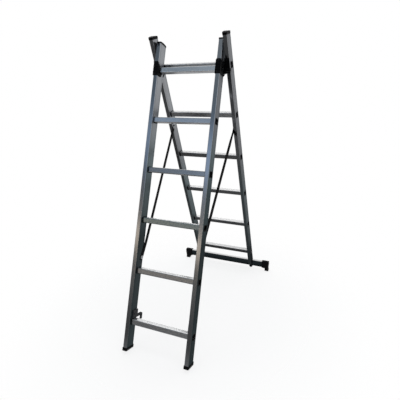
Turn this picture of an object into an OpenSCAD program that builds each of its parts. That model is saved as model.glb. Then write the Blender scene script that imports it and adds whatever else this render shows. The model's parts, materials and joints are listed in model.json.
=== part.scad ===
// Trestle ladder: two aluminium ladder sections that cross at a hinge near their tops.
// Webbing straps stop them opening further, and a crossbar widens the rear section's stance.
// Millimetres, +Z up, the front section stands toward -Y, drawn open on a floor at z = 0.

/* [Sections] */
// Rungs in each section
rung_count = 6; // [5:1:7]
// Distance between rung centres along a stile
rung_pitch = 280; // [260:1:300]
// Width of the front section over its stiles
front_width = 397; // [360:1:430]
// Space at each side between a front stile and the rear stile beside it
side_gap = 7.5; // [7:0.1:10]
// Lean of the open front section from upright, in degrees
front_lean = 18.75; // [16:0.25:21]
// Lean of the open rear section from upright, in degrees
rear_lean = 17.6; // [16:0.1:21]

/* [Stiles] */
// Depth of a stile's box profile, front to back
stile_depth = 58; // [52:1:66]
// Thickness of a stile's box profile, side to side
stile_thick = 24; // [22:1:28]
// Wall of the box profile
stile_wall = 1.8; // [1.5:0.1:2.4]
// Corner radius of the box profile
stile_round = 3; // [2.5:0.5:4]
// Width of the groove drawn along a stile's wide faces
stile_groove = 3; // [2:0.5:4]
// Depth of that groove
stile_groove_deep = 0.5; // [0.3:0.1:0.8]
// Stile length above the centre of the top rung
top_rise = 148; // [120:1:180]
// Front stile length below the centre of the bottom rung
front_drop = 140; // [110:1:170]

/* [Rungs] */
// Side of the square rung tube
rung_side = 30; // [28:0.5:32]
// Wall of the rung tube
rung_wall = 2; // [1.8:0.1:2.6]
// Corner radius of the rung tube
rung_round = 4; // [3:0.5:5]
// Grip grooves on each face of a rung
rung_grooves = 3; // [2:1:3]
// Width of a grip groove
rung_groove = 3; // [2:0.5:3.5]
// Depth of a grip groove
rung_groove_deep = 0.7; // [0.4:0.1:1]
// How far the flared rung end and the swaged bead stand out round the tube
rung_lip = 2.5; // [2:0.5:3.5]
// Thickness of the flared end
flare_thick = 1.2; // [0.8:0.1:1.6]
// Thickness of the swaged bead on the inner face of a stile
bead_thick = 1.5; // [1:0.1:2]

/* [Hinge] */
// Diameter of the hinge pin
pin_d = 10; // [8:0.5:12]
// Height of the hinge axis above the top rung of the front section
pivot_above_front_rung = 10; // [6:1:14]
// Drop of the hinge axis below the top rung of the rear section
pivot_below_rear_rung = 20; // [16:1:24]
// Wall of the moulded hinge pieces round a stile
hinge_wall = 3; // [2.5:0.1:3.2]
// Diameter of the hinge barrels
barrel_d = 24; // [20:1:26]
// Diameter of the round cheek on the rear hinge plate
cheek_d = 42; // [38:1:48]
// Reach of the rear hinge plate above and below the top rear rung
plate_reach = 38; // [34:1:44]
// Reach of the front hinge saddle above the top front rung
saddle_up = 44; // [38:1:50]
// Reach of the saddle below the top front rung
saddle_down = 34; // [30:1:40]
// Corner rounding of the saddle's front plate, and the cut across its wings' corners
saddle_cut = 8; // [4:1:12]
// Height of a rib across the saddle's front plate
saddle_rib = 5; // [4:0.5:7]
// How far a rib stands out
saddle_rib_proud = 1.2; // [0.8:0.1:1.6]
// Diameter of the pin's head
pin_head_d = 18; // [16:0.5:20]
// Thickness of the pin's head
pin_head_thick = 4; // [3:0.5:5]
// Thickness of the cap on the pin's outer end
pin_cap_thick = 3; // [2.5:0.5:4]

/* [Caps and feet] */
// Thickness of the caps on the front stiles, at their edges
front_cap_thick = 7; // [5:0.5:10]
// Thickness of the caps on the rear stiles, at their edges
rear_cap_thick = 12; // [8:0.5:15]
// Height of a cap's domed top above its edges
cap_dome = 4; // [2:0.5:5]
// How far a cap stands out round the stile
cap_lip = 1.2; // [0.8:0.1:2]
// Length of the plug that holds a cap or foot inside the stile
plug_long = 30; // [20:1:45]
// Thickness of the front foot's sole
sole_thick = 14; // [10:1:20]
// How far the sole stands out round the stile
sole_lip = 3; // [1.5:0.1:4]
// Width of a tread groove under a sole
tread_groove = 4; // [3:0.5:5]
// Depth of a tread groove
tread_deep = 2; // [1.5:0.1:3]

/* [Crossbar] */
// Length of the crossbar over its end feet
crossbar_long = 732; // [680:1:860]
// Height of the crossbar's box profile
bar_high = 48; // [44:1:56]
// Depth of the crossbar's box profile, front to back
bar_deep = 24; // [22:1:28]
// Height of the crossbar's lower face above the floor
crossbar_clear = 30; // [27:1:40]
// How far the crossbar stands behind the middle of the rear stiles
bar_back = 5; // [0:1:6]
// Length of the end foot's sleeve along the bar
sleeve_long = 54; // [48:1:64]
// Wall of that sleeve
sleeve_wall = 4; // [3:0.1:5]
// End wall of that sleeve
sleeve_end = 9; // [6:0.5:12]
// Width of the end foot's leg along the bar
leg_wide = 28; // [24:1:34]
// How far the leg stands in from the outer end of the sleeve
leg_inset = 1; // [0.5:0.5:4]
// Depth of the end foot's leg, front to back
leg_deep = 28; // [24:1:32]
// Rounding under the leg's front and back edges
leg_round = 6; // [4:0.5:8]
// Hollow in the end foot's outer face between its top and its leg
leg_waist = 2.5; // [2:0.5:5]
// Diameter of the bolts that hold the crossbar
bolt_d = 8; // [7:0.5:9]
// Width across the flats of the bolt head and nut
bolt_flats = 13; // [12:0.5:14]
// Height of the bolt head and nut
bolt_head = 6.5; // [5:0.5:8]
// Diameter of the moulded washer over the bolt head
bolt_washer_d = 27; // [22:1:30]
// Thickness of that washer
bolt_washer = 13; // [8:0.5:14]
// Height of the clamp block in the stile above the crossbar
block_high = 18; // [14:1:20]

/* [Straps] */
// Width of the webbing
strap_wide = 25; // [20:1:28]
// Thickness of the webbing
strap_thick = 1.6; // [1.2:0.1:2]
// Drop of the strap's rivet below the second rear rung
strap_rear_drop = 85; // [70:1:110]
// Rise of the strap's rivet above the last but one front rung
strap_front_rise = 68; // [50:1:90]
// Distance of both rivets from the stile edge that the strap passes
strap_edge = 14; // [12:0.5:16]
// Webbing beyond the rivet
strap_tail = 14; // [12:1:20]
// Diameter of the washer over the webbing
strap_washer_d = 20; // [16:0.5:22]
// Thickness of that washer
strap_washer = 1.2; // [1:0.1:1.6]

/* [Rung hooks] */
// Thickness of the hook plate
hook_plate = 8; // [6:0.5:10]
// Throat of the hook between the stile and the hook's tip
hook_throat = 31.5; // [31:0.5:36]
// Thickness of the hook's tip
hook_tip = 12; // [10:0.5:13]
// Height of the hook's arm
hook_arm = 14; // [12:0.5:18]
// Length of the hook's tip below its arm
hook_drop = 26; // [20:1:32]
// Height of the hook's pad on the stile above the bottom of the arm
hook_pad_high = 44; // [38:1:50]
// Width of the hook's pad on the stile
hook_pad_wide = 40; // [36:1:46]

/* [Rivets and fits] */
// Diameter of a rivet's shank
rivet_d = 5; // [4:0.2:6]
// Diameter of a rivet's head
rivet_head_d = 10; // [8:0.5:11]
// Height of a rivet's domed head
rivet_head = 2.4; // [1.8:0.1:3]
// Running clearance round the hinge pin
pin_fit = 0.06; // [0.03:0.01:0.1]
// Clearance round pieces that are pushed or riveted together
push_fit = 0.1; // [0.05:0.05:0.2]
// Clearance between pieces that turn past each other
turn_gap = 0.5; // [0.4:0.1:0.8]
// Space kept between the top rear rung and the front stiles when open
rung_gap = 1.5; // [1:0.1:3]

/* [Hidden] */
$fn = 48;
// Every cut runs this far past the face it opens
overrun = 1;
// Least metal or plastic left beside the hinge pin
pin_cover = 1;
spread = front_lean + rear_lean;

// Positions across the ladder
front_half = front_width / 2;
rear_half = front_half + side_gap + stile_thick;
front_stile_x = front_half - stile_thick / 2;
rear_stile_x = rear_half - stile_thick / 2;
front_inner_x = front_half - stile_thick;
rear_inner_x = rear_half - stile_thick;

// Both section frames start at the hinge axis: y runs across the stile, z up along it
front_off = stile_depth / 2 + pin_d / 2 + pin_cover;
rung_span = rung_side / 2 * (cos(spread) + sin(spread));
rung_room = stile_depth / 2 + rung_span + rung_gap - front_off;
rear_off = max(front_off, (rung_room + pivot_below_rear_rung * sin(spread)) / cos(spread));
front_back_y = -front_off + stile_depth / 2;
front_face_y = -front_off - stile_depth / 2;
rear_face_y = rear_off - stile_depth / 2;
function front_rung_z(i) = -pivot_above_front_rung - (i - 1) * rung_pitch;
function rear_rung_z(i) = pivot_below_rear_rung - (i - 1) * rung_pitch;
front_top_z = front_rung_z(1) + top_rise;
rear_top_z = rear_rung_z(1) + top_rise;
front_end_z = front_rung_z(rung_count) - front_drop;
sole_z = front_end_z - sole_thick;

// The hinge stands where the back edge of the front soles meets the floor
heel_y = front_back_y + sole_lip;
pivot_z = heel_y * sin(front_lean) - sole_z * cos(front_lean);
// The rear section ends at the level of the crossbar's middle
bar_z = crossbar_clear + bar_high / 2;
bar_local_z = (bar_z - pivot_z - rear_off * sin(rear_lean)) / cos(rear_lean);
// The model is centred front to back on the floor
toe_y = front_face_y - sole_lip;
front_reach = -(toe_y * cos(front_lean) + sole_z * sin(front_lean));
bar_reach = rear_off * cos(rear_lean) - bar_local_z * sin(rear_lean) + bar_back;
stile_reach = (rear_off + stile_depth / 2) * cos(rear_lean) - bar_local_z * sin(rear_lean);
rear_reach = max(bar_reach + bar_deep / 2 + sleeve_wall, stile_reach);
pivot_y = (front_reach - rear_reach) / 2;
bar_y = pivot_y + bar_reach;
bar_top_z = bar_z + bar_high / 2;
bar_half = crossbar_long / 2 - sleeve_end;

// Hinge layers from the front stile outward: saddle wing, turning gap, rear plate
wing_out_x = front_half + hinge_wall;
wing_in_x = front_inner_x - hinge_wall;
plate_x = wing_out_x + turn_gap;
pin_end_x = rear_half + turn_gap + pin_cap_thick - pin_cover;
plate_top_z = rear_rung_z(1) + plate_reach;
plate_end_z = rear_rung_z(1) - plate_reach;

// Straps, left and right alike: rivet places in their section frames
strap_rear_y = rear_face_y + strap_edge;
strap_rear_z = rear_rung_z(2) - strap_rear_drop;
strap_front_y = front_back_y - strap_edge;
strap_front_z = front_rung_z(rung_count - 1) + strap_front_rise;
function from_front(y, z) =
    [y * cos(front_lean) + z * sin(front_lean), z * cos(front_lean) - y * sin(front_lean)];
function from_rear(y, z) =
    [y * cos(rear_lean) - z * sin(rear_lean), y * sin(rear_lean) + z * cos(rear_lean)];
strap_start = from_rear(strap_rear_y, strap_rear_z);
strap_finish = from_front(strap_front_y, strap_front_z);
strap_run = strap_finish - strap_start;
strap_long = norm(strap_run);
strap_angle = atan2(-strap_run[0], strap_run[1]);
// Webbing lies flat on each stile until it is clear of the stile's edge
strap_peel_rear = rear_lean - strap_angle;
strap_peel_front = -front_lean - strap_angle;
function flat_long(peel) = (strap_edge + strap_wide / 2 * abs(cos(peel))) / abs(sin(peel));
strap_flat_rear = flat_long(strap_peel_rear);
strap_flat_front = flat_long(strap_peel_front);
strap_rear_x = rear_inner_x - strap_thick / 2;
strap_front_x = front_inner_x - turn_gap - strap_thick / 2;
// Piles of webbing and washer: the front one turns, so it has a gap on both faces of the webbing
front_strap_seat = strap_thick + 2 * turn_gap + strap_washer;
rear_strap_seat = strap_thick + strap_washer;

// Hooks stand above the bottom front rung and take a rung at its level
hook_z = front_rung_z(rung_count) + rung_side / 2 + push_fit;
hook_top = hook_z + hook_arm;
hook_pad_z = front_rung_z(rung_count) + rung_side / 2 + rung_lip + turn_gap;
hook_end_y = front_back_y + hook_throat + hook_tip;

metal = [0.72, 0.74, 0.77];
black = [0.05, 0.05, 0.06];
steel = [0.45, 0.46, 0.48];

sides = ["left", "right"];
function named(before, after) = [for (s = sides) str(before, s, after)];
function rungs(section) = [for (i = [1:rung_count]) str(section, "_rung_", i)];

module in_front() {
    translate([0, pivot_y, pivot_z])
        rotate([-front_lean, 0, 0])
            children();
}

module in_rear() {
    translate([0, pivot_y, pivot_z])
        rotate([rear_lean, 0, 0])
            children();
}

// Shapes are drawn for the right side, at +x
module on_side(side) {
    mirror([side == "left" ? 1 : 0, 0, 0])
        children();
}

module both_sides() {
    for (side = sides)
        on_side(side)
            children();
}

// Rectangle with true round corners, centred
module round_rect(wide, high, r) {
    square([wide - 2 * r, high], center = true);
    square([wide, high - 2 * r], center = true);
    for (x = [-1, 1], y = [-1, 1])
        translate([x * (wide / 2 - r), y * (high / 2 - r)])
            circle(r);
}

// Turns a drawing in the y-z plane into a plate whose faces are at x0 and x1
module plate_yz(x0, x1) {
    translate([x0, 0, 0])
        rotate([90, 0, 90])
            linear_extrude(x1 - x0)
                children();
}

// Outline of a box profile, grown by a clearance: a stile's, unless sizes are given
module box_outline(grow = 0, thick = stile_thick, deep = stile_depth) {
    round_rect(thick + 2 * grow, deep + 2 * grow, stile_round + grow);
}

module box_bore(grow = 0, thick = stile_thick, deep = stile_depth) {
    inner = stile_round - stile_wall + grow;
    round_rect(thick - 2 * stile_wall + 2 * grow, deep - 2 * stile_wall + 2 * grow,
        max(inner, stile_wall / 2));
}

module box_profile(thick = stile_thick, deep = stile_depth) {
    difference() {
        box_outline(0, thick, deep);
        box_bore(0, thick, deep);
        for (x = [-1, 1], y = [-1, 1])
            translate([x * thick / 2, y * deep / 3])
                square([2 * stile_groove_deep, stile_groove], center = true);
    }
}

// Hole through both walls of a stile for a rung
module rung_hole() {
    rotate([0, 90, 0])
        linear_extrude(stile_thick + 2 * overrun, center = true)
            round_rect(rung_side + 2 * push_fit, rung_side + 2 * push_fit, rung_round + push_fit);
}

// Rivet standing on z = 0 with its head up, through a pile of the given thickness
module rivet(pile) {
    tail_high = rivet_head;
    ball = (rivet_head_d * rivet_head_d / 4 + rivet_head * rivet_head) / (2 * rivet_head);
    intersection() {
        translate([0, 0, rivet_head - ball])
            sphere(ball);
        cylinder(h = rivet_head, d = rivet_head_d);
    }
    translate([0, 0, -pile])
        cylinder(h = pile, d = rivet_d);
    translate([0, 0, -pile - tail_high])
        cylinder(h = tail_high, d = (rivet_d + rivet_head_d) / 2);
}

module rivet_hole(deep) {
    translate([0, 0, -deep])
        cylinder(h = deep + overrun, d = rivet_d + 2 * push_fit);
}

// Places of the rivets, as frames whose z axis points out of the riveted face
module at_saddle_rivets() {
    for (z = [saddle_up - stile_thick / 2, -saddle_down + stile_thick / 3])
        translate([front_stile_x, front_face_y - hinge_wall, front_rung_z(1) + z])
            rotate([90, 0, 0])
                children();
}

module at_hook_rivets() {
    for (y = [-1, 1])
        translate([front_inner_x - hook_plate,
                front_back_y - hook_pad_wide / 2 + y * hook_pad_wide / 4,
                hook_z + hook_pad_high - hook_arm + y * hook_arm / 3])
            rotate([0, -90, 0])
                children();
}

module at_plate_rivets() {
    for (x = [-1, 1])
        translate([rear_stile_x + x * stile_thick / 4, rear_face_y - hinge_wall, plate_top_z - rivet_head_d])
            rotate([90, 0, 0])
                children();
}

module at_front_strap_rivet(proud) {
    translate([front_inner_x - proud, strap_front_y, strap_front_z])
        rotate([0, -90, 0])
            children();
}

module at_rear_strap_rivet(proud) {
    translate([rear_inner_x - proud, strap_rear_y, strap_rear_z])
        rotate([0, -90, 0])
            children();
}

// Front section

module front_stile(side) {
    color(metal)
        in_front() on_side(side)
            difference() {
                translate([front_stile_x, -front_off, front_end_z])
                    linear_extrude(front_top_z - front_end_z)
                        box_profile();
                for (i = [1:rung_count])
                    translate([front_stile_x, -front_off, front_rung_z(i)])
                        rung_hole();
                at_saddle_rivets()
                    rivet_hole(hinge_wall + stile_wall + overrun);
                at_hook_rivets()
                    rivet_hole(hook_plate + stile_wall + overrun);
                at_front_strap_rivet(0)
                    rivet_hole(stile_wall + overrun);
            }
}

// Rung tube along x with flared ends outside the stiles and beads inside them
module rung_tube(half) {
    groove_step = (rung_side - 2 * rung_round) / rung_grooves;
    lip_side = rung_side + 2 * rung_lip;
    lip_round = rung_round + rung_lip;
    rotate([0, 90, 0])
        difference() {
            union() {
                linear_extrude(2 * half, center = true)
                    difference() {
                        round_rect(rung_side, rung_side, rung_round);
                        for (turn = [0:3], k = [1:rung_grooves])
                            rotate(90 * turn)
                                translate([rung_side / 2, (k - (rung_grooves + 1) / 2) * groove_step])
                                    square([2 * rung_groove_deep, rung_groove], center = true);
                    }
                for (end = [0, 1])
                    mirror([0, 0, end]) {
                        translate([0, 0, half])
                            linear_extrude(flare_thick)
                                round_rect(lip_side, lip_side, lip_round);
                        translate([0, 0, half - stile_thick - bead_thick])
                            linear_extrude(bead_thick)
                                round_rect(lip_side, lip_side, lip_round);
                    }
            }
            linear_extrude(2 * (half + flare_thick + overrun), center = true)
                round_rect(rung_side - 2 * rung_wall, rung_side - 2 * rung_wall, rung_round - rung_wall / 2);
        }
}

module front_rung(i) {
    color(metal)
        in_front()
            translate([0, -front_off, front_rung_z(i)])
                rung_tube(front_half);
}

// Cap over a stile's top end, standing on z = 0, domed from front to back
module stile_cap(thick) {
    half = stile_depth / 2 + cap_lip;
    dome = (half * half + cap_dome * cap_dome) / (2 * cap_dome);
    intersection() {
        linear_extrude(thick + cap_dome)
            box_outline(cap_lip);
        translate([0, 0, thick + cap_dome - dome])
            rotate([0, 90, 0])
                cylinder(h = 2 * stile_thick, r = dome, center = true, $fn = 4 * $fn);
    }
    translate([0, 0, -plug_long])
        linear_extrude(plug_long)
            box_bore(-push_fit);
}

module front_cap(side) {
    color(black)
        in_front() on_side(side)
            translate([front_stile_x, -front_off, front_top_z])
                stile_cap(front_cap_thick);
}

// Foot plugged into a front stile, cut square, with treads across its sole
module front_foot(side) {
    sole_wide = stile_thick + 2 * sole_lip;
    sole_deep = stile_depth + 2 * sole_lip;
    tread_step = sole_deep / 5;
    color(black)
        in_front() on_side(side)
            translate([front_stile_x, -front_off, front_end_z]) {
                linear_extrude(plug_long)
                    box_bore(-push_fit);
                difference() {
                    translate([0, 0, -sole_thick])
                        linear_extrude(sole_thick)
                            round_rect(sole_wide, sole_deep, stile_round + sole_lip);
                    for (k = [-1:1])
                        translate([0, k * tread_step, -sole_thick])
                            cube([sole_wide + overrun, tread_groove, 2 * tread_deep], center = true);
                }
            }
}

// Side view of the saddle's outer wing: from the front plate back to the barrel on the hinge axis
module outer_wing() {
    rung_z = front_rung_z(1);
    front_y = front_face_y - hinge_wall;
    end_z = rung_z - saddle_down;
    shoulder_y = front_face_y + stile_depth / 2;
    shoulder_z = rung_z + saddle_up - saddle_cut;
    polygon([
        [front_y, end_z],
        [front_back_y - saddle_cut, end_z],
        [front_back_y + saddle_cut, end_z + 2 * saddle_cut],
        [barrel_d / 2, 0],
        [0, barrel_d / 2],
        [front_back_y, barrel_d / 2],
        [shoulder_y, shoulder_z],
        [front_y, shoulder_z]
    ]);
    circle(d = barrel_d);
}

// Side view of the inner wing: short above the rung, deeper below it
module inner_wing() {
    rung_z = front_rung_z(1);
    front_y = front_face_y - hinge_wall;
    end_z = rung_z - saddle_down;
    upper_y = front_face_y + stile_depth / 3;
    lower_y = front_face_y + stile_depth * 2 / 3;
    polygon([
        [front_y, end_z],
        [lower_y - saddle_cut, end_z],
        [lower_y, end_z + saddle_cut],
        [lower_y, rung_z],
        [upper_y, rung_z],
        [upper_y, rung_z + saddle_up / 2],
        [front_y, rung_z + saddle_up - saddle_cut]
    ]);
}

// Moulded saddle: a ribbed plate over the stile's front, two wings and a barrel behind the stile
module hinge_saddle(side) {
    rung_z = front_rung_z(1);
    saddle_wide = stile_thick + 2 * hinge_wall;
    rung_window = rung_side + 2 * rung_lip + 2 * push_fit;
    color(black)
        in_front() on_side(side)
            difference() {
                union() {
                    plate_yz(front_inner_x, wing_out_x)
                        outer_wing();
                    plate_yz(wing_in_x, front_stile_x)
                        inner_wing();
                    translate([front_stile_x, front_face_y, rung_z + (saddle_up - saddle_down) / 2])
                        rotate([90, 0, 0])
                            linear_extrude(hinge_wall)
                                round_rect(saddle_wide, saddle_up + saddle_down, saddle_cut);
                    for (k = [-1:1])
                        translate([wing_in_x, front_face_y - hinge_wall - saddle_rib_proud,
                                rung_z + k * rung_side / 2 - saddle_rib / 2])
                            cube([saddle_wide, saddle_rib_proud + hinge_wall / 2, saddle_rib]);
                }
                translate([front_stile_x, -front_off, front_end_z])
                    linear_extrude(front_top_z - front_end_z)
                        box_outline(push_fit / 2);
                translate([front_stile_x, -front_off, rung_z])
                    cube([saddle_wide + 2 * overrun, rung_window, rung_window], center = true);
                rotate([0, 90, 0])
                    cylinder(h = rear_half, d = pin_d + pin_fit);
                at_saddle_rivets()
                    rivet_hole(hinge_wall + overrun);
            }
}

module saddle_rivets() {
    color(steel)
        in_front() both_sides()
            at_saddle_rivets()
                rivet(hinge_wall + push_fit / 2 + stile_wall);
}

// Pin along the hinge axis, headed on the saddle's barrel and running in the rear plate's barrel
module hinge_pin(side) {
    color(steel)
        in_front() on_side(side)
            rotate([0, 90, 0]) {
                translate([0, 0, front_inner_x])
                    cylinder(h = pin_end_x - front_inner_x, d = pin_d);
                translate([0, 0, front_inner_x - pin_head_thick])
                    cylinder(h = pin_head_thick, d = pin_head_d);
            }
}

module hinge_pin_caps() {
    color(black)
        in_front() both_sides()
            translate([rear_half + turn_gap, 0, 0])
                rotate([0, 90, 0])
                    difference() {
                        cylinder(h = pin_cap_thick, d = pin_head_d);
                        cylinder(h = pin_cap_thick - pin_cover, d = pin_d);
                    }
}

// Side view of a rung hook: pad on the stile, arm past its back edge, tip turned down
module hook_outline() {
    arm_back_y = front_back_y - hook_pad_wide / 3;
    pad_y = front_back_y - hook_pad_wide;
    translate([pad_y, hook_pad_z])
        square([hook_pad_wide - rivet_d / 2, hook_z + hook_pad_high - hook_pad_z]);
    translate([arm_back_y, hook_z])
        square([hook_end_y - hook_arm - arm_back_y, hook_arm]);
    translate([hook_end_y - hook_arm, hook_z])
        intersection() {
            circle(hook_arm);
            square(hook_arm);
        }
    translate([hook_end_y - hook_tip, hook_z - hook_drop])
        square([hook_tip, hook_drop]);
}

module rung_hook(side) {
    color(black)
        in_front() on_side(side)
            difference() {
                plate_yz(front_inner_x - hook_plate, front_inner_x)
                    hook_outline();
                at_hook_rivets()
                    rivet_hole(hook_plate + overrun);
            }
}

module hook_rivets() {
    color(steel)
        in_front() both_sides()
            at_hook_rivets()
                rivet(hook_plate + stile_wall);
}

module strap_rivet(pile) {
    rivet(pile);
    translate([0, 0, -strap_washer])
        difference() {
            cylinder(h = strap_washer, d = strap_washer_d);
            translate([0, 0, -overrun])
                cylinder(h = strap_washer + 2 * overrun, d = rivet_d);
        }
}

module front_strap_rivets() {
    color(steel)
        in_front() both_sides()
            at_front_strap_rivet(front_strap_seat)
                strap_rivet(front_strap_seat + stile_wall);
}

// Rear section

module rear_stile(side) {
    color(metal)
        difference() {
            in_rear() on_side(side)
                difference() {
                    translate([rear_stile_x, rear_off, bar_local_z])
                        linear_extrude(rear_top_z - bar_local_z)
                            box_profile();
                    for (i = [1:rung_count])
                        translate([rear_stile_x, rear_off, rear_rung_z(i)])
                            rung_hole();
                    at_plate_rivets()
                        rivet_hole(hinge_wall + stile_wall + overrun);
                    at_rear_strap_rivet(0)
                        rivet_hole(stile_wall + overrun);
                }
            crossbar_solid(push_fit);
        }
}

module rear_rung(i) {
    color(metal)
        in_rear()
            translate([0, rear_off, rear_rung_z(i)])
                rung_tube(rear_half);
}

module rear_cap(side) {
    color(black)
        in_rear() on_side(side)
            translate([rear_stile_x, rear_off, rear_top_z])
                stile_cap(rear_cap_thick);
}

// Rear hinge half: a cheek beside the stile, a strip up its front and a barrel on the hinge axis
module hinge_plate(side) {
    rung_window = rung_side + 2 * rung_lip + 2 * push_fit;
    tab_up = pivot_below_rear_rung + rung_window / 2 + hinge_wall;
    color(black)
        in_rear() on_side(side)
            difference() {
                union() {
                    plate_yz(plate_x, rear_inner_x) {
                        circle(d = cheek_d);
                        translate([0, -barrel_d / 2])
                            square([rear_off + stile_depth / 2 - stile_round, tab_up + barrel_d / 2]);
                    }
                    plate_yz(plate_x, rear_half) {
                        circle(d = barrel_d);
                        translate([0, -barrel_d / 2])
                            square([rear_face_y, barrel_d]);
                        translate([rear_face_y - hinge_wall, plate_end_z])
                            square([hinge_wall, plate_top_z - plate_end_z]);
                    }
                }
                translate([rear_inner_x, rear_face_y, plate_end_z])
                    cube([stile_thick + overrun, stile_depth, plate_top_z - plate_end_z]);
                translate([plate_x - overrun, rear_off - rung_window / 2,
                        pivot_below_rear_rung - rung_window / 2])
                    cube([side_gap + overrun, rung_window, rung_window]);
                rotate([0, 90, 0])
                    cylinder(h = rear_half + overrun, d = pin_d + 2 * pin_fit);
                at_plate_rivets()
                    rivet_hole(hinge_wall + overrun);
            }
}

module plate_rivets() {
    color(steel)
        in_rear() both_sides()
            at_plate_rivets()
                rivet(hinge_wall + stile_wall);
}

// The crossbar as a solid, grown by a clearance, for the slots that take it
module crossbar_solid(grow) {
    translate([-bar_half - grow, bar_y, bar_z])
        rotate([90, 0, 90])
            linear_extrude(2 * (bar_half + grow))
                box_outline(grow, bar_deep, bar_high);
}

module bolt_holes(extra) {
    both_sides()
        translate([rear_stile_x, bar_y, 0])
            cylinder(h = bar_top_z + block_high + overrun, d = bolt_d + extra);
}

module crossbar() {
    color(metal)
        difference() {
            translate([-bar_half, bar_y, bar_z])
                rotate([90, 0, 90])
                    linear_extrude(2 * bar_half)
                        box_profile(bar_deep, bar_high);
            bolt_holes(2 * push_fit);
        }
}

// End foot: a sleeve on the bar, a leg to the floor and a gusset between them
module crossbar_foot(side) {
    outer_x = crossbar_long / 2;
    sleeve_x = outer_x - sleeve_long;
    sleeve_deep = bar_deep + 2 * sleeve_wall;
    sleeve_high = bar_high + 2 * sleeve_wall;
    sleeve_foot = crossbar_clear - sleeve_wall;
    gusset_z = sleeve_foot * 5 / 6;
    leg_x = outer_x - leg_inset - leg_wide;
    tread_step = leg_wide / 3;
    waist = (bar_high * bar_high / 4 + leg_waist * leg_waist) / (2 * leg_waist);
    color(black)
        on_side(side)
            translate([0, bar_y, 0])
                difference() {
                    union() {
                        translate([sleeve_x, 0, bar_z])
                            rotate([90, 0, 90])
                                linear_extrude(sleeve_long)
                                    round_rect(sleeve_deep, sleeve_high, stile_round + sleeve_wall);
                        plate_yz(leg_x, leg_x + leg_wide) {
                            translate([0, leg_round])
                                round_rect(leg_deep, 2 * leg_round, leg_round);
                            translate([-leg_deep / 2, leg_round])
                                square([leg_deep, crossbar_clear - leg_round]);
                        }
                        rotate([90, 0, 0])
                            linear_extrude(bar_deep, center = true)
                                polygon([[leg_x, gusset_z], [leg_x + stile_round, gusset_z],
                                    [leg_x + stile_round, crossbar_clear], [sleeve_x, crossbar_clear],
                                    [sleeve_x, sleeve_foot]]);
                    }
                    translate([sleeve_x - overrun, 0, bar_z])
                        rotate([90, 0, 90])
                            linear_extrude(sleeve_long - sleeve_end + overrun)
                                box_outline(push_fit, bar_deep, bar_high);
                    translate([outer_x + waist - leg_waist, 0, crossbar_clear])
                        rotate([90, 0, 0])
                            cylinder(h = sleeve_deep + 2 * overrun, r = waist, center = true, $fn = 4 * $fn);
                    for (k = [1, 2])
                        translate([leg_x + k * tread_step, 0, 0])
                            cube([tread_groove, leg_deep + overrun, 2 * tread_deep], center = true);
                }
}

// Block inside the stile that the crossbar bolt pulls down on the bar
module clamp_block(side) {
    color(black)
        difference() {
            intersection() {
                in_rear() on_side(side)
                    translate([rear_stile_x, rear_off, bar_local_z])
                        linear_extrude(bar_high + 2 * block_high)
                            box_bore(-push_fit);
                translate([-rear_half, bar_y - stile_depth, bar_z])
                    cube([2 * rear_half, 2 * stile_depth, bar_high / 2 + block_high]);
            }
            crossbar_solid(0);
            bolt_holes(2 * push_fit);
        }
}

module hex_prism(flats, high) {
    cylinder(h = high, d = flats / cos(30), $fn = 6);
}

module crossbar_bolts() {
    bolt_bottom = crossbar_clear - bolt_washer;
    color(steel)
        both_sides()
            translate([rear_stile_x, bar_y, bolt_bottom]) {
                cylinder(h = bolt_washer + bar_high + block_high + bolt_head + overrun, d = bolt_d);
                translate([0, 0, -bolt_head])
                    hex_prism(bolt_flats, bolt_head);
            }
}

module crossbar_washers() {
    color(black)
        both_sides()
            translate([rear_stile_x, bar_y, crossbar_clear - bolt_washer])
                difference() {
                    cylinder(h = bolt_washer, d = bolt_washer_d);
                    translate([0, 0, -overrun])
                        cylinder(h = bolt_washer + 2 * overrun, d = bolt_d + 2 * push_fit);
                }
}

module crossbar_nuts() {
    color(steel)
        both_sides()
            translate([rear_stile_x, bar_y, bar_top_z + block_high])
                difference() {
                    hex_prism(bolt_flats, bolt_head);
                    translate([0, 0, -overrun])
                        cylinder(h = bolt_head + 2 * overrun, d = bolt_d);
                }
}

// Straps

// Webbing seen edge on: flat on the rear stile, across to the front stile, then flat on that
module strap_edge_on() {
    half = strap_thick / 2;
    line = [[strap_rear_x, -strap_tail], [strap_rear_x, strap_flat_rear],
        [strap_front_x, strap_long - strap_flat_front], [strap_front_x, strap_long + strap_tail]];
    last = len(line) - 1;
    polygon(concat(
        [for (p = line) [p[0] - half, p[1]]],
        [for (i = [last:-1:0]) [line[i][0] + half, line[i][1]]]
    ));
}

module strap(side) {
    color(black)
        translate([0, pivot_y, pivot_z])
            on_side(side)
                translate([0, strap_start[0], strap_start[1]])
                    rotate([strap_angle, 0, 0])
                        difference() {
                            rotate([90, 0, 0])
                                linear_extrude(strap_wide, center = true)
                                    strap_edge_on();
                            for (z = [0, strap_long])
                                translate([front_inner_x - side_gap, 0, z])
                                    rotate([0, 90, 0])
                                        cylinder(h = rear_half, d = rivet_d + 2 * turn_gap);
                        }
}

module rear_strap_rivets() {
    color(steel)
        in_rear() both_sides()
            at_rear_strap_rivet(rear_strap_seat)
                strap_rivet(rear_strap_seat + stile_wall);
}

module shown(name) {
    children();
}

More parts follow.
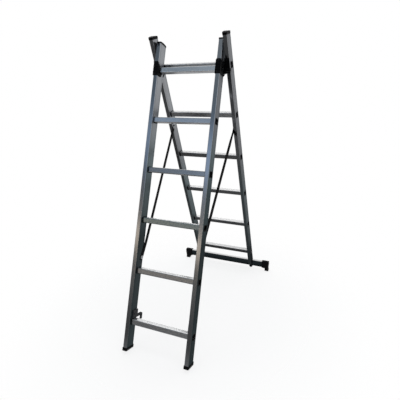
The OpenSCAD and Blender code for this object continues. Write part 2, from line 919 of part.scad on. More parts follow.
for (side = sides) {
    shown(str("front_", side, "_stile")) front_stile(side);
    shown(str("front_", side, "_cap")) front_cap(side);
    shown(str("front_", side, "_foot")) front_foot(side);
    shown(str(side, "_hinge_saddle")) hinge_saddle(side);
    shown(str(side, "_hinge_pin")) hinge_pin(side);
    shown(str(side, "_rung_hook")) rung_hook(side);
    shown(str("rear_", side, "_stile")) rear_stile(side);
    shown(str("rear_", side, "_cap")) rear_cap(side);
    shown(str(side, "_hinge_plate")) hinge_plate(side);
    shown(str("crossbar_", side, "_foot")) crossbar_foot(side);
    shown(str(side, "_clamp_block")) clamp_block(side);
    shown(str(side, "_strap")) strap(side);
}
for (i = [1:rung_count]) {
    shown(str("front_rung_", i)) front_rung(i);
    shown(str("rear_rung_", i)) rear_rung(i);
}
shown("saddle_rivets") saddle_rivets();
shown("hinge_pin_caps") hinge_pin_caps();
shown("hook_rivets") hook_rivets();
shown("front_strap_rivets") front_strap_rivets();
shown("plate_rivets") plate_rivets();
shown("crossbar") crossbar();
shown("crossbar_bolts") crossbar_bolts();
shown("crossbar_washers") crossbar_washers();
shown("crossbar_nuts") crossbar_nuts();
shown("rear_strap_rivets") rear_strap_rivets();
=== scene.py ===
"""Looks of the trestle ladder: finishes, webbing straps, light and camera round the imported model."""
import json
import math

import bmesh
import bpy
from mathutils import Euler, Matrix, Vector


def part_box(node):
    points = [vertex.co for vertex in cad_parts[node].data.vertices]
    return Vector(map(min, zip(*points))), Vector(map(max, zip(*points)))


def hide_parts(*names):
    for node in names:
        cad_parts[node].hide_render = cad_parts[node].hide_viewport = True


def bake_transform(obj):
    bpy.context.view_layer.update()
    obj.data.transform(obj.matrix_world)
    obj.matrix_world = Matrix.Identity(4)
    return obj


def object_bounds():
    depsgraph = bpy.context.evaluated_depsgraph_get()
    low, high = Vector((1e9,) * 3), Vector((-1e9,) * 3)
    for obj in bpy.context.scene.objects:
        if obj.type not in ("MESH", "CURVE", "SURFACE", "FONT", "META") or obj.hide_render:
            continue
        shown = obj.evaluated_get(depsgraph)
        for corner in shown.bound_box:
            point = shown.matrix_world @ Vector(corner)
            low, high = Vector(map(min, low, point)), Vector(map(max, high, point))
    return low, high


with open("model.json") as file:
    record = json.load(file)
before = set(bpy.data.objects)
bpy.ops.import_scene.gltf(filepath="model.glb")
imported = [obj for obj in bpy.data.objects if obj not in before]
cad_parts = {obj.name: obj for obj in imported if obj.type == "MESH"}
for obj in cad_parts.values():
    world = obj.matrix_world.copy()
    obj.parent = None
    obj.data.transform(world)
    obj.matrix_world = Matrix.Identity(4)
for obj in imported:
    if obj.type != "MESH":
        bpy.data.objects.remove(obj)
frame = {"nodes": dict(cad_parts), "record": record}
CAD_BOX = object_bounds()
LADDER_HIGH = CAD_BOX[1][2]
NODES = frame["nodes"]
SLOTS = {row["node"]: row["material_slot"] for row in frame["record"]["subparts"]}
WHITE = (1, 1, 1, 1)

# Leans of the two sections, in degrees, so that grain runs along their stiles
FRONT_LEAN = 18.75
REAR_LEAN = -17.6

# The photograph's camera, in its 400 pixel frame
IMAGE_PX = 400
FOCAL_PX = 299.78
PRINCIPAL_PX = (238.75, 188.0)
CAMERA_TARGET = Vector((0.2844, 0.0082, 0.8319))
CAMERA_AZIMUTH = 18.608
CAMERA_ELEVATION = 16.338
CAMERA_DISTANCE = 1.7524
CAMERA_CLIP = (0.02, 100)
SENSOR_MM = 36

# Webbing, in metres; the gap is between it and the front stile
STRAP_WIDE = 0.025
STRAP_THICK = 0.0016
STRAP_TAIL = 0.014
STRAP_GAP = 0.0005
STRAP_CORNER = 0.003
# How far past its rivet the webbing stays flat on the rear stile
STRAP_FLAT = 0.027
# One face of the webbing from edge to edge: places across and thickness, as shares of half of each
STRAP_FACE = ((-1, 0.2), (-0.94, 0.75), (-0.8, 1), (-0.4, 1), (0, 1),
              (0.4, 1), (0.8, 1), (0.94, 0.75), (1, 0.2))
STRAP_STEP = 0.006
WELD = 1e-6
# Rows of stitches across the webbing, by the distance from its rear rivet, and the length of each row
STITCHES = (0.018, 0.814)
STITCH_LONG = 0.006
# How far the webbing has turned with the front section, by the distance from its rear rivet
STRAP_SHARES = ((0, 0), (0.05, 0.115), (0.10, 0.255), (0.20, 0.49),
                (0.35, 0.726), (0.50, 0.873), (0.742, 1))
# How far the free length of each strap is twisted, in degrees, and how soon after its ends
STRAP_TWIST = {"left": 0, "right": 11}
TWIST_EASE = 0.08

# How much red the painted shade leaves, against the other colours, which tints it cool like a reflection of
# a bluish room
COOL_RED = 0.85


def cool(level):
    """Colour of cool grey painted shade that leaves this share of the light."""
    return (COOL_RED * level, level, level)


# Colours of the metal
SILVER = (0.285, 0.295, 0.31)
RUNG_SILVER = (0.52, 0.53, 0.545)
# The crossbar's colour is painted shade: near black, as if its faces reflected a dark floor
SHADED_BAR_SILVER = (0.019, 0.025, 0.028)
RUBBED = (0.55, 0.56, 0.58)
# Tops of the rungs and of the crossbar are painted brighter than their fronts: partly the polish that shoes
# leave on rung treads, partly a painted highlight
TREAD_POLISH_AND_HIGHLIGHT = 0.97
BAR_TOP = 0.62
# Roughness of the metal where no painted shade darkens it
STILE_ROUGH = 0.15
RUNG_ROUGH = 0.22
BAR_ROUGH = 0.25
# Oxide, and partly painted shade, dim the stiles' reflections at grazing angles, so they don't turn into
# mirrors
FRONT_SHEEN = 0.25
REAR_SHEEN = 0.5
# Painted light and shade: the share of the metal's colour kept, by share of the ladder's height; below 1 it
# is painted shade that darkens towards the bottom, above 1 painted light near the top
FRONT_PAINTED_SHADE = ((0.06, 0.5), (0.42, 1.0))
REAR_PAINTED_SHADE = ((0.06, cool(0.5)), (0.29, cool(0.76)), (0.37, cool(0.74)), (0.46, cool(0.82)), (0.60, 1.0))
# The wide faces are painted darker than the fronts as shade, with a painted dark reflection band at about a
# third of the height
FRONT_WIDE_PAINTED_LIGHT_AND_SHADE = ((0.06, cool(0.27)), (0.22, cool(0.26)), (0.36, cool(0.22)), (0.43, cool(0.37)),
                    (0.52, cool(0.48)), (0.60, cool(0.70)), (0.72, 0.94), (0.85, 1.2))
REAR_WIDE_PAINTED_LIGHT_AND_SHADE = ((0.12, cool(0.1)), (0.17, cool(0.28)), (0.30, cool(0.47)), (0.45, cool(0.60)),
                   (0.60, 0.78), (0.78, 1.1))
# On the rung ends, which face sideways, near-black painted shade as in deep open tubes
RUNG_END_PAINTED_SHADE = ((0.3, 0.02), (0.8, 0.03))
# On the rungs, painted shade lower down and, above 1, painted light on the top front rungs
FRONT_RUNG_PAINTED_LIGHT_AND_SHADE = ((0.08, 0.66), (0.25, 0.62), (0.42, cool(0.45)), (0.60, 0.55), (0.75, 1.0), (0.88, 1.3))
REAR_RUNG_PAINTED_SHADE = ((0.10, 0.26), (0.25, 0.42), (0.42, 0.53), (0.58, 0.66), (0.75, 1.0))
# On the crossbar, painted shade along its bottom edge by the floor
BAR_PAINTED_SHADE = ((0.02, 0.4), (0.045, 1.0))
# On faces that look down, painted shade, deeper lower down
UNDERSIDE_PAINTED_SHADE = ((0.10, 0.18), (0.45, 0.22), (0.59, 0.34), (0.69, 0.62))
# What the painted shade adds to the roughness, by the share of the metal's colour that it leaves
PAINTED_SHADE_MATT = ((0.12, 0.45), (0.45, 0.0))
# What handling adds to the roughness of the wide faces
WIDE_MATT = 0.14
# Which faces are wide ones, by how far they face sideways, and which are treads, by how far they face up
WIDE_FACE = ((0.3, 0.0), (0.9, 1.0))
TREAD_FACE = ((0.82, 0.0), (0.92, 1.0))
# Which faces don't look down, by 1 more than how far they face up
NOT_DOWN = ((0.72, 0.0), (0.95, 1.0))
# Edges rubbed bright: how strongly, how fast it fades by the metre, and how uneven its border is
EDGE_WEAR = 0.25
EDGE_FADE = 150.0
EDGE_UNEVEN = 0.5
EDGE_BAND = ((0.3, 1.0), (0.6, 0.0))

# Share of the colour left by oxide, by drawing lines and by scuffs, and by the lines on a tread's polish and
# painted highlight
OXIDE_SHADE = 0.9
LINE_SHADE = ((0.25, 0.86), (0.75, 1.0))
SCUFF_SHADE = ((0.28, 0.8), (0.4, 1.0))
TREAD_SHADE = 0.93
# How far roughness swings to either side, on drawn metal and on other pieces
DRAWN_ROUGHER, DRAWN_SMOOTHER = 0.08, 0.06
ROUGHER, SMOOTHER = 0.1, 0.07
# How dust lifts the colour of plastic and rubber
DUST_GAIN, DUST_LIFT = 1.8, 0.001
# Levels of a noise between which a colour or the roughness changes
OXIDE_LEVELS = (0.3, 0.7)
LINE_LEVELS = (0.2, 0.8)
TREAD_LEVELS = (0.2, 0.7)
DUST_LEVELS = (0.45, 0.8)
SKIN_LEVELS = (0.3, 0.75)
STEEL_LEVELS = (0.3, 0.75)

# Fineness of the drawing lines, by the metre
DRAWN_ACROSS = 300
DRAWN_ALONG = 2
# Noises: their fineness by the metre, detail and roughness; a moulded skin has its own fineness
LINE_NOISE = (1.0, 6, 0.7)
OXIDE_NOISE = (9.0, 5, 0.6)
SCUFF_NOISE = (60.0, 8, 0.75)
DUST_NOISE = (40.0, 6, 0.65)
STEEL_NOISE = (160.0, 5, 0.6)
LINT_NOISE = (70.0, 6, 0.7)
SKIN_NOISE = (3, 0.5)
# Weaves: their fineness by the metre and how far their ribs waver
RIBS = {"Scale": 130.0, "Distortion": 0.4}
SELVEDGE_RIBS = {"Scale": 210.0, "Distortion": 0.3}
# Depth of relief, in metres, and its strength
DRAWN_RELIEF = (0.00012, 0.5)
MOULD_RELIEF = (0.00015, 0.6)
STEEL_RELIEF = (0.0001, 0.4)
WEAVE_RELIEF = (0.0004, 0.8)
# How strongly plastic and webbing shine
DULL_SHINE = 0.05

# Colours of mouldings, and the dark and light clouds on steel
NYLON = (0.030, 0.031, 0.033)
PLASTIC = (0.0018, 0.0018, 0.0024)
RUBBER = (0.002, 0.002, 0.0025)
PLATED = ((0.20, 0.21, 0.22), (0.34, 0.35, 0.36))
BLACKENED = ((0.006, 0.006, 0.007), (0.015, 0.015, 0.017))

# Colour and roughness of the yarn, from the hollows of the weave to the tops of its ribs
YARN = ((0.1, (0.001, 0.001, 0.0012)), (0.8, (0.004, 0.004, 0.005)))
YARN_ROUGH = ((0.0, 0.9), (1.0, 0.65))
# The stitches' thread: its colour, its height where the weave's is 0 to 1, and where it shows along a row
THREAD = (0.012, 0.012, 0.014, 1)
THREAD_RISE = (1.4, 1.4, 1.4, 1)
THREAD_SHOWS = ((0.35, 0.0), (0.6, 1.0))
# Lint on the webbing: its colour and how much of it there is
LINT = (0.02, 0.02, 0.02, 1)
LINT_SHARE = ((0.6, 0.0), (0.9, 0.2))
# The selvedge's border, by the distance from the strap's middle as a share of its width
SELVEDGE = ((0.40, 0.0), (0.42, 1.0))
SELVEDGE_SCALE = 1 / STRAP_WIDE

# Floor and lamp, in metres and watts
FLOOR_RADIUS = 1.3
FLOOR_CORNERS = 96
FLOOR_PAPER = (0.92, 0.92, 0.92, 1)
FLOOR_FADE = ((0.3, 0.0), (0.98, 1.0))
FLOOR_WHITE = 0.8
LAMP_PLACE = (0, 0.6, 3.8)
LAMP_AIM = (0, 0, 0)
LAMP_SIZE = 2.4
LAMP_POWER = 45

# The world that metal reflects, by direction; 0 is left, front or down, and 1 right, back or up
BACKDROP = ((0.35, 1.12), (0.5, 1.0), (0.66, 0.75), (0.70, 0.8), (0.76, 1.1))
BACKDROP_LIGHT = (0.8, 0.8, 0.8, 1)
LOW_STRIP = ((0.42, 0.24), (0.46, 0.33), (0.50, (0.37, 0.365, 0.35)), (0.535, (0.36, 0.34, 0.31)),
             (0.549, (2.5, 2.1, 1.68)), (0.563, (2.5, 2.1, 1.68)), (0.58, (0.39, 0.385, 0.38)))
ROOM_LEFT = (*LOW_STRIP, (0.64, (0.26, 0.28, 0.30)), (0.68, (0.48, 0.61, 0.82)), (0.71, (0.6, 0.78, 1.02)),
             (0.76, (0.2, 0.26, 0.32)), (0.86, (0.3, 0.36, 0.4)), (1.0, 0.9))
ROOM_RIGHT = (*LOW_STRIP, (0.64, (0.5, 0.54, 0.58)), (0.68, (0.95, 1.2, 1.6)), (0.71, (0.85, 1.1, 1.5)),
              (0.76, (0.24, 0.3, 0.36)), (0.86, (0.55, 0.61, 0.65)), (1.0, 0.9))
LEFT_TO_RIGHT = ((0.22, 0.0), (0.31, 1.0))
FRONT_TO_BACK = ((0.35, 0.0), (0.6, 1.0))
# A dim patch overhead keeps the treads from turning white when seen from above
OVERHEAD = ((0.78, 0.0), (0.9, 1.0))
OVERHEAD_WIDE = ((0.14, 1.0), (0.28, 0.0))
OVERHEAD_GREY = (0.5, 0.5, 0.5, 1)


class Nodes:
    """A short way to add and join the nodes of one tree."""

    def __init__(self, tree):
        self.tree = tree

    def join(self, node, socket, value):
        """Sets a socket to a number or colour, or links another node's output to it."""
        target = node.inputs[socket]
        if isinstance(value, bpy.types.NodeSocket):
            self.tree.links.new(value, target)
        else:
            target.default_value = value

    def add(self, kind, inputs, output=0, **settings):
        """Adds a node with these inputs and settings, and returns one of its outputs."""
        node = self.tree.nodes.new("ShaderNode" + kind)
        for name, value in settings.items():
            setattr(node, name, value)
        for socket, value in inputs.items():
            self.join(node, socket, value)
        return node.outputs[output]

    def maths(self, operation, first, second=0.0, third=0.5):
        return self.add("Math", {0: first, 1: second, 2: third}, operation=operation)

    def part(self, vector, axis):
        """One of a vector's three numbers."""
        return self.add("SeparateXYZ", {"Vector": vector}, axis)

    def ramp(self, factor, *stops):
        """A colour ramp; each stop is a position and a grey level or a colour."""
        node = self.tree.nodes.new("ShaderNodeValToRGB")
        while len(node.color_ramp.elements) < len(stops):
            node.color_ramp.elements.new(0.5)
        for element, (position, colour) in zip(node.color_ramp.elements, stops):
            element.position = position
            element.color = (*colour, 1) if isinstance(colour, tuple) else (colour, colour, colour, 1)
        self.join(node, "Fac", factor)
        return node.outputs["Color"]

    def between(self, factor, levels, low, high):
        """A ramp from one grey level or colour to another between two levels of a factor."""
        return self.ramp(factor, *zip(levels, (low, high)))

    def mix(self, share, first, second, blend="MIX"):
        """Mixes two colours; the numbers are the Mix node's sockets for a share and colours."""
        return self.add("Mix", {0: share, 6: first, 7: second}, 2, data_type="RGBA", blend_type=blend)

    def multiply(self, first, second):
        return self.mix(1.0, first, second, "MULTIPLY")

    def seen_directly(self):
        """1 for rays that show the background: from the camera, off metal and through glass."""
        path = self.tree.nodes.new("ShaderNodeLightPath").outputs
        shown = self.maths("MAXIMUM", path["Is Camera Ray"], path["Is Glossy Ray"])
        return self.maths("MAXIMUM", shown, path["Is Transmission Ray"])


class Finish(Nodes):
    """A material round one Principled shader."""

    def __init__(self, name, **sockets):
        self.material = bpy.data.materials.new(name)
        self.material.use_nodes = True
        super().__init__(self.material.node_tree)
        self.shader = self.tree.nodes["Principled BSDF"]
        for socket, value in sockets.items():
            self.surface(socket.replace("_", " "), value)

    def surface(self, socket, value):
        self.join(self.shader, socket, value)

    def place(self, lean=0.0, scale=(1, 1, 1)):
        """Coordinates on the piece in metres, turned upright with its section and then scaled."""
        spot = self.add("TexCoord", {}, "Object")
        turned = self.add("Mapping", {"Vector": spot, "Rotation": (math.radians(lean), 0, 0)})
        return self.add("Mapping", {"Vector": turned, "Scale": scale})

    def noise(self, place, scale, detail, rough):
        inputs = {"Vector": place, "Scale": scale, "Detail": detail, "Roughness": rough}
        return self.add("TexNoise", inputs, "Fac")

    def bump(self, height, depth, strength):
        """Relief of that depth in metres."""
        inputs = {"Height": height, "Distance": depth, "Strength": strength}
        self.surface("Normal", self.add("Bump", inputs, "Normal"))


class Profile:
    """Cross-section of a section's stiles in coordinates turned upright: middles and half sizes."""

    def __init__(self, stile, lean):
        turn = Matrix.Rotation(math.radians(lean), 3, "X")
        points = [turn @ (NODES[stile].matrix_world @ vertex.co) for vertex in NODES[stile].data.vertices]
        self.middle, self.half = {}, {}
        spans = {"X": [abs(point.x) for point in points], "Y": [point.y for point in points]}
        for axis, values in spans.items():
            self.middle[axis] = (min(values) + max(values)) / 2
            self.half[axis] = (max(values) - min(values)) / 2


class DrawnMetal(Finish):
    """Extruded aluminium, with drawing lines along one axis of its section."""

    def __init__(self, name, lean, along, sheen):
        super().__init__(name, Metallic=1.0, Specular_Tint=(sheen, sheen, sheen, 1))
        stretched = [DRAWN_ACROSS] * 3
        stretched[along] = DRAWN_ALONG
        self.lean = lean
        self.lines = self.noise(self.place(lean, stretched), *LINE_NOISE)
        self.scuffs = self.noise(self.place(lean), *SCUFF_NOISE)
        spot = self.add("TexCoord", {}, "Object")
        self.height = self.maths("DIVIDE", self.part(spot, "Z"), LADDER_HIGH)
        normal = self.add("TexCoord", {}, "Normal")
        self.wide = self.ramp(self.maths("ABSOLUTE", self.part(normal, "X")), *WIDE_FACE)
        self.rise = self.part(normal, "Z")

    def oxide(self, colour):
        """The metal's colour under cloudy oxide, with darker drawing lines and scuffs."""
        clouds = self.noise(self.place(self.lean), *OXIDE_NOISE)
        tint = self.between(clouds, OXIDE_LEVELS, tuple(OXIDE_SHADE * c for c in colour), colour)
        tint = self.multiply(tint, self.ramp(self.lines, *LINE_SHADE))
        return self.multiply(tint, self.ramp(self.scuffs, *SCUFF_SHADE))

    def underside_shade(self):
        """Painted shade on faces that look down: the share of the colour left, by height; 1 on the others.
        """
        upright = self.ramp(self.maths("ADD", self.rise, 1.0), *NOT_DOWN)
        return self.mix(upright, self.ramp(self.height, *UNDERSIDE_PAINTED_SHADE), WHITE)

    def worn_edges(self, profile):
        """1 along the long edges of the two stiles and 0 away from them, with an uneven border."""
        spot = self.place(self.lean)
        inside = []
        for axis in "XY":
            along = self.part(spot, axis)
            if axis == "X":
                along = self.maths("ABSOLUTE", along)
            off = self.maths("ABSOLUTE", self.maths("SUBTRACT", along, profile.middle[axis]))
            inside.append(self.maths("SUBTRACT", profile.half[axis], off))
        depth = self.maths("MULTIPLY", self.maths("MAXIMUM", *inside), EDGE_FADE)
        uneven = self.maths("MULTIPLY", self.scuffs, EDGE_UNEVEN)
        return self.ramp(self.maths("ADD", depth, uneven), *EDGE_BAND)

    def roughness(self, rough, painted_shading_share):
        """Smoother along the drawing lines, and more matt where painted shade darkens the colour and on the
        wide faces.
        """
        smooth = self.between(self.lines, LINE_LEVELS, rough + DRAWN_ROUGHER, rough - DRAWN_SMOOTHER)
        handled = self.maths("MULTIPLY", self.wide, WIDE_MATT)
        return self.maths("ADD", smooth, self.maths("ADD", self.ramp(painted_shading_share, *PAINTED_SHADE_MATT), handled))


def drawn_aluminium(name, lean, along, colour, rough, painted_shading, wide_painted_shading,
                    tread=None, profile=None, sheen=1.0):
    """Drawn aluminium with painted shade that darkens it towards the floor and painted light near the top,
    both stronger on the wide faces, painted shade on the faces that look down, tops brightened partly by the
    polish of shoes and partly as a painted highlight, and edges rubbed bright."""
    metal = DrawnMetal(name, lean, along, sheen)
    # Painted light and shade by height, stronger on the wide faces
    painted_shading_share = metal.mix(metal.wide, metal.ramp(metal.height, *painted_shading), metal.ramp(metal.height, *wide_painted_shading))
    tint = metal.multiply(metal.oxide(colour), painted_shading_share)
    # Painted shade on faces that look down
    tint = metal.multiply(tint, metal.underside_shade())
    if profile:
        worn = metal.maths("MULTIPLY", metal.worn_edges(profile), EDGE_WEAR)
        tint = metal.mix(metal.maths("MULTIPLY", worn, painted_shading_share), tint, (*RUBBED, 1))
    # Tops painted bright: partly the polish of shoes, partly a painted highlight
    if tread:
        polish_and_highlight = metal.between(metal.lines, TREAD_LEVELS, TREAD_SHADE * tread, tread)
        tint = metal.mix(metal.ramp(metal.rise, *TREAD_FACE), tint, polish_and_highlight)
    metal.surface("Base Color", tint)
    metal.surface("Roughness", metal.roughness(rough, painted_shading_share))
    metal.bump(metal.lines, *DRAWN_RELIEF)
    return metal.material


def moulded(name, colour, rough, grain):
    """Moulded plastic or rubber with a fine grained skin and a little dust."""
    finish = Finish(name, Specular_IOR_Level=DULL_SHINE)
    skin = finish.noise(finish.place(), grain, *SKIN_NOISE)
    dust = finish.noise(finish.place(), *DUST_NOISE)
    dusty = tuple(DUST_GAIN * c + DUST_LIFT for c in colour)
    finish.surface("Base Color", finish.between(dust, DUST_LEVELS, colour, dusty))
    finish.surface("Roughness", finish.between(dust, SKIN_LEVELS, rough - SMOOTHER, rough + ROUGHER))
    finish.bump(skin, *MOULD_RELIEF)
    return finish.material


def rivet_steel(name, dark, light, rough):
    """Plated or blackened steel for rivets, pins and bolts."""
    finish = Finish(name, Metallic=1.0)
    clouds = finish.noise(finish.place(), *STEEL_NOISE)
    finish.surface("Base Color", finish.between(clouds, STEEL_LEVELS, dark, light))
    finish.surface("Roughness", finish.between(clouds, STEEL_LEVELS, rough + ROUGHER, rough - SMOOTHER))
    finish.bump(clouds, *STEEL_RELIEF)
    return finish.material


def webbing():
    """Woven webbing: chevron ribs along the strap, plain selvedges, stitched ends and a little dust."""
    finish = Finish("webbing", Specular_IOR_Level=DULL_SHINE, Sheen_Weight=0.02, Sheen_Roughness=0.5)
    flat = finish.add("TexCoord", {}, "UV")
    run, across = finish.part(flat, "X"), finish.maths("ABSOLUTE", finish.part(flat, "Y"))
    slope = finish.add("CombineXYZ", {"X": finish.maths("ADD", run, across)})
    ribs = finish.add("TexWave", {"Vector": slope, **RIBS}, "Fac")
    ends = finish.add("TexWave", {"Vector": flat, **SELVEDGE_RIBS}, "Fac", bands_direction="Y")
    selvedge = finish.ramp(finish.maths("MULTIPLY", across, SELVEDGE_SCALE), *SELVEDGE)
    weave = finish.mix(selvedge, ribs, ends)
    rows = [finish.maths("COMPARE", run, place, STITCH_LONG / 2) for place in STITCHES]
    stitched = finish.multiply(finish.maths("ADD", *rows), finish.ramp(ends, *THREAD_SHOWS))
    yarn = finish.mix(stitched, finish.ramp(weave, *YARN), THREAD)
    dust = finish.noise(finish.place(), *LINT_NOISE)
    finish.surface("Base Color", finish.mix(finish.ramp(dust, *LINT_SHARE), yarn, LINT))
    finish.surface("Roughness", finish.ramp(weave, *YARN_ROUGH))
    finish.bump(finish.mix(stitched, weave, THREAD_RISE), *WEAVE_RELIEF)
    return finish.material


FRONT = Profile("front_left_stile", FRONT_LEAN)
REAR = Profile("rear_left_stile", REAR_LEAN)
# The axes along which the pieces are drawn
X, Z = 0, 2
FINISHES = {
    "front_stile": drawn_aluminium("front_stile_aluminium", FRONT_LEAN, Z, SILVER, STILE_ROUGH,
                                   FRONT_PAINTED_SHADE, FRONT_WIDE_PAINTED_LIGHT_AND_SHADE, profile=FRONT, sheen=FRONT_SHEEN),
    "rear_stile": drawn_aluminium("rear_stile_aluminium", REAR_LEAN, Z, SILVER, STILE_ROUGH,
                                  REAR_PAINTED_SHADE, REAR_WIDE_PAINTED_LIGHT_AND_SHADE, profile=REAR, sheen=REAR_SHEEN),
    "front_rung": drawn_aluminium("front_rung_aluminium", FRONT_LEAN, X, RUNG_SILVER, RUNG_ROUGH,
                                  FRONT_RUNG_PAINTED_LIGHT_AND_SHADE, RUNG_END_PAINTED_SHADE, tread=TREAD_POLISH_AND_HIGHLIGHT),
    "rear_rung": drawn_aluminium("rear_rung_aluminium", REAR_LEAN, X, RUNG_SILVER, RUNG_ROUGH,
                                 REAR_RUNG_PAINTED_SHADE, RUNG_END_PAINTED_SHADE, tread=TREAD_POLISH_AND_HIGHLIGHT),
    "crossbar": drawn_aluminium("crossbar_aluminium", 0, X, SHADED_BAR_SILVER, BAR_ROUGH,
                                BAR_PAINTED_SHADE, BAR_PAINTED_SHADE, tread=BAR_TOP),
    "hook_nylon": moulded("hook_nylon", NYLON, rough=0.5, grain=700.0),
    "black_plastic": moulded("black_plastic", PLASTIC, rough=0.45, grain=900.0),
    "foot_rubber": moulded("foot_rubber", RUBBER, rough=0.62, grain=500.0),
    "steel": rivet_steel("plated_steel", *PLATED, rough=0.4),
    "dark_steel": rivet_steel("blackened_steel", *BLACKENED, rough=0.45),
    "webbing": webbing(),
}
DARK_RIVETS = ("saddle_rivets", "plate_rivets", "hook_rivets", "crossbar_bolts")


def finish_of(node):
    """The finish of a CAD node, by its material slot and, for metal, by the section it belongs to."""
    kind = SLOTS[node]
    if node in DARK_RIVETS:
        return FINISHES["dark_steel"]
    if node.endswith("rung_hook"):
        return FINISHES["hook_nylon"]
    if kind == "rung_aluminium":
        return FINISHES["front_rung" if node.startswith("front") else "rear_rung"]
    if kind == "profile_aluminium":
        return FINISHES["crossbar" if node == "crossbar" else node.split("_")[0] + "_stile"]
    return FINISHES[kind]


for name, node in NODES.items():
    node.data.materials.clear()
    node.data.materials.append(finish_of(name))


def middle(node):
    low, high = (Vector(corner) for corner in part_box(node))
    return (low + high) / 2


class StrapLine:
    """The middle line of one taut strap, by the distance from its rear rivet."""

    def __init__(self, side, sign):
        rear, front = middle("rear_strap_rivets"), middle("front_strap_rivets")
        edge = 0 if sign > 0 else 1
        rear.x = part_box(f"rear_{side}_stile")[edge][0] - sign * STRAP_THICK / 2
        front.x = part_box(f"front_{side}_stile")[edge][0] - sign * (STRAP_GAP + STRAP_THICK / 2)
        self.rear, self.front = rear, front
        self.long = math.hypot(front.y - rear.y, front.z - rear.z)
        self.along = Vector((0, front.y - rear.y, front.z - rear.z)) / self.long
        self.across = Vector((0, -self.along.z, self.along.y))
        self.outward = Vector((sign, 0, 0))
        self.twist = math.radians(STRAP_TWIST[side])
        # Where the webbing leaves the rear stile, and where it meets the front one
        self.start, self.end = STRAP_FLAT, STRAP_SHARES[-1][0]

    def turned(self, run):
        """The directions across and out of the webbing, which leave and meet the stiles flat."""
        reach = min(1, max(0, min(run - self.start, self.end - run) / TWIST_EASE))
        turn = Matrix.Rotation(self.twist * reach * reach * (3 - 2 * reach), 3, self.along)
        return turn @ self.across, turn @ self.outward

    def at(self, run):
        share = min(1, max(0, (run - self.start) / (self.end - self.start)))
        point = self.rear + self.along * run
        point.x = self.rear.x + (self.front.x - self.rear.x) * share
        return point


def strap_ring(line, run):
    """Cross-section of the webbing: thin rounded edges, and corners cut at the two ends."""
    spare = min(run + STRAP_TAIL, line.long + STRAP_TAIL - run)
    half = STRAP_WIDE / 2 - max(0, STRAP_CORNER - spare)
    top = [(u * half, t * STRAP_THICK / 2) for u, t in STRAP_FACE]
    ring = top + [(u, -t) for u, t in reversed(top)]
    point = line.at(run)
    across, outward = line.turned(run)
    return [(point + across * u + outward * t, (run, u)) for u, t in ring]


def strap_piece(name, line, first, last, closed_start, closed_end):
    """Webbing between two distances from the rear rivet, with its length and width as UV."""
    steps = max(2, math.ceil((last - first) / STRAP_STEP))
    mesh = bpy.data.meshes.new(name)
    work = bmesh.new()
    uv_layer = work.loops.layers.uv.new("webbing")
    rings, flat = [], {}
    for step in range(steps + 1):
        ring = []
        for point, spot in strap_ring(line, first + (last - first) * step / steps):
            vertex = work.verts.new(point)
            flat[vertex] = spot
            ring.append(vertex)
        rings.append(ring)
    faces = []
    for here, there in zip(rings, rings[1:]):
        for k in range(len(here)):
            n = (k + 1) % len(here)
            faces.append(work.faces.new((here[k], here[n], there[n], there[k])))
    if closed_start:
        faces.append(work.faces.new(rings[0][::-1]))
    if closed_end:
        faces.append(work.faces.new(rings[-1]))
    for face in faces:
        face.smooth = True
        for loop in face.loops:
            loop[uv_layer].uv = flat[loop.vert]
    work.normal_update()
    work.to_mesh(mesh)
    work.free()
    mesh.materials.append(FINISHES["webbing"])
    piece = bpy.data.objects.new(name, mesh)
    bpy.context.scene.collection.objects.link(piece)
    return piece


def joined(pieces, name):
    """One piece made of several, welded where they meet."""
    whole = pieces[0]
    with bpy.context.temp_override(active_object=whole, selected_editable_objects=pieces):
        bpy.ops.object.join()
    whole.name = name
    work = bmesh.new()
    work.from_mesh(whole.data)
    bmesh.ops.remove_doubles(work, verts=work.verts, dist=WELD)
    bmesh.ops.recalc_face_normals(work, faces=work.faces)
    work.to_mesh(whole.data)
    work.free()
    return whole


def make_strap(side, sign):
    """One strap: lengths of webbing split at the distances in STRAP_SHARES, joined into one piece, in place
    of the CAD strap.
    """
    line = StrapLine(side, sign)
    lengths = []
    for (start, low), (end, high) in zip(STRAP_SHARES, STRAP_SHARES[1:]):
        first = start - STRAP_TAIL if start == 0 else start
        last = line.long + STRAP_TAIL if high == 1 else end
        piece = strap_piece(f"{side}_webbing_{len(lengths)}", line, first, last, start == 0, high == 1)
        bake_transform(piece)
        lengths.append(piece)
    strap = joined(lengths, f"{side}_webbing")
    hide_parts(f"{side}_strap")


def make_floor():
    """A round white floor that fades into the white background and keeps the ladder's soft shadow."""
    turns = [2 * math.pi * k / FLOOR_CORNERS for k in range(FLOOR_CORNERS)]
    rim = [(FLOOR_RADIUS * math.cos(a), FLOOR_RADIUS * math.sin(a), 0) for a in turns]
    mesh = bpy.data.meshes.new("floor")
    mesh.from_pydata(rim, [], [range(FLOOR_CORNERS)])
    floor = bpy.data.objects.new("floor", mesh)
    bpy.context.scene.collection.objects.link(floor)
    paper = Finish("floor_paper", Base_Color=FLOOR_PAPER, Roughness=0.9, Specular_IOR_Level=0.0)
    spot = paper.add("TexCoord", {}, "Object")
    out = paper.add("VectorMath", {0: spot}, "Value", operation="LENGTH")
    edge = paper.ramp(paper.maths("DIVIDE", out, FLOOR_RADIUS), *FLOOR_FADE)
    edge.node.color_ramp.interpolation = "EASE"
    white = paper.add("Emission", {"Color": WHITE, "Strength": 1.0})
    shown = paper.maths("MULTIPLY", paper.seen_directly(), FLOOR_WHITE)
    lit = paper.add("MixShader", {0: shown, 1: paper.shader.outputs[0], 2: white})
    faded = paper.add("MixShader", {0: edge, 1: lit, 2: paper.add("BsdfTransparent", {})})
    paper.join(paper.tree.nodes["Material Output"], "Surface", faded)
    mesh.materials.append(paper.material)


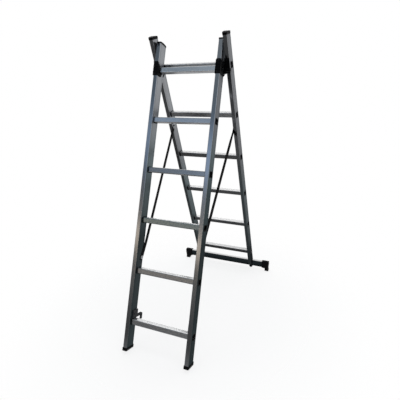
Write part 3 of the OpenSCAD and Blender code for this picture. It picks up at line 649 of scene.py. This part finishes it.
def make_world():
    """A pale backdrop behind the ladder that metal shows too, and a dimmer room with a warm strip and a cool
    band on the photographer's side; the camera sees white all round."""
    world = bpy.data.worlds.new("studio")
    bpy.context.scene.world = world
    world.use_nodes = True
    sky = Nodes(world.node_tree)
    way = sky.add("TexCoord", {}, "Generated")
    across, back, up = (sky.maths("MULTIPLY_ADD", sky.part(way, axis), 0.5, 0.5) for axis in "XYZ")
    behind = sky.mix(sky.seen_directly(), BACKDROP_LIGHT, sky.ramp(across, *BACKDROP))
    before = sky.mix(sky.ramp(across, *LEFT_TO_RIGHT), sky.ramp(up, *ROOM_LEFT), sky.ramp(up, *ROOM_RIGHT))
    room = sky.mix(sky.ramp(back, *FRONT_TO_BACK), before, behind)
    centre = sky.ramp(sky.maths("ABSOLUTE", sky.part(way, "X")), *OVERHEAD_WIDE)
    room = sky.mix(sky.multiply(sky.ramp(up, *OVERHEAD), centre), room, OVERHEAD_GREY)
    seen = sky.tree.nodes.new("ShaderNodeLightPath").outputs["Is Camera Ray"]
    background = sky.tree.nodes["Background"]
    sky.join(background, "Color", sky.mix(seen, room, WHITE))
    background.inputs["Strength"].default_value = 1.0


def make_lamp():
    """A soft lamp overhead that metal doesn't reflect as a hot spot."""
    lamp = bpy.data.lights.new("top", "AREA")
    lamp.shape = "RECTANGLE"
    lamp.size = lamp.size_y = LAMP_SIZE
    lamp.energy = LAMP_POWER
    holder = bpy.data.objects.new("top", lamp)
    holder.location = LAMP_PLACE
    holder.rotation_euler = (Vector(LAMP_AIM) - Vector(LAMP_PLACE)).to_track_quat("-Z", "Y").to_euler()
    holder.visible_glossy = False
    bpy.context.scene.collection.objects.link(holder)


def make_camera():
    """The photograph's view: a camera round a target, with its optical centre off the middle."""
    data = bpy.data.cameras.new("camera")
    data.sensor_width = SENSOR_MM
    data.lens = FOCAL_PX / IMAGE_PX * SENSOR_MM
    data.shift_x = 0.5 - PRINCIPAL_PX[0] / IMAGE_PX
    data.shift_y = PRINCIPAL_PX[1] / IMAGE_PX - 0.5
    data.clip_start, data.clip_end = CAMERA_CLIP
    around, up = math.radians(CAMERA_AZIMUTH), math.radians(CAMERA_ELEVATION)
    back = Vector((math.sin(around) * math.cos(up), -math.cos(around) * math.cos(up), math.sin(up)))
    camera = bpy.data.objects.new("camera", data)
    camera.location = CAMERA_TARGET + back * CAMERA_DISTANCE
    camera.rotation_euler = Euler((math.radians(90 - CAMERA_ELEVATION), 0, around))
    bpy.context.scene.collection.objects.link(camera)
    bpy.context.scene.camera = camera


make_strap("left", -1)
make_strap("right", 1)
make_floor()
make_world()
make_camera()
make_lamp()
bpy.context.scene.view_settings.view_transform = "Standard"
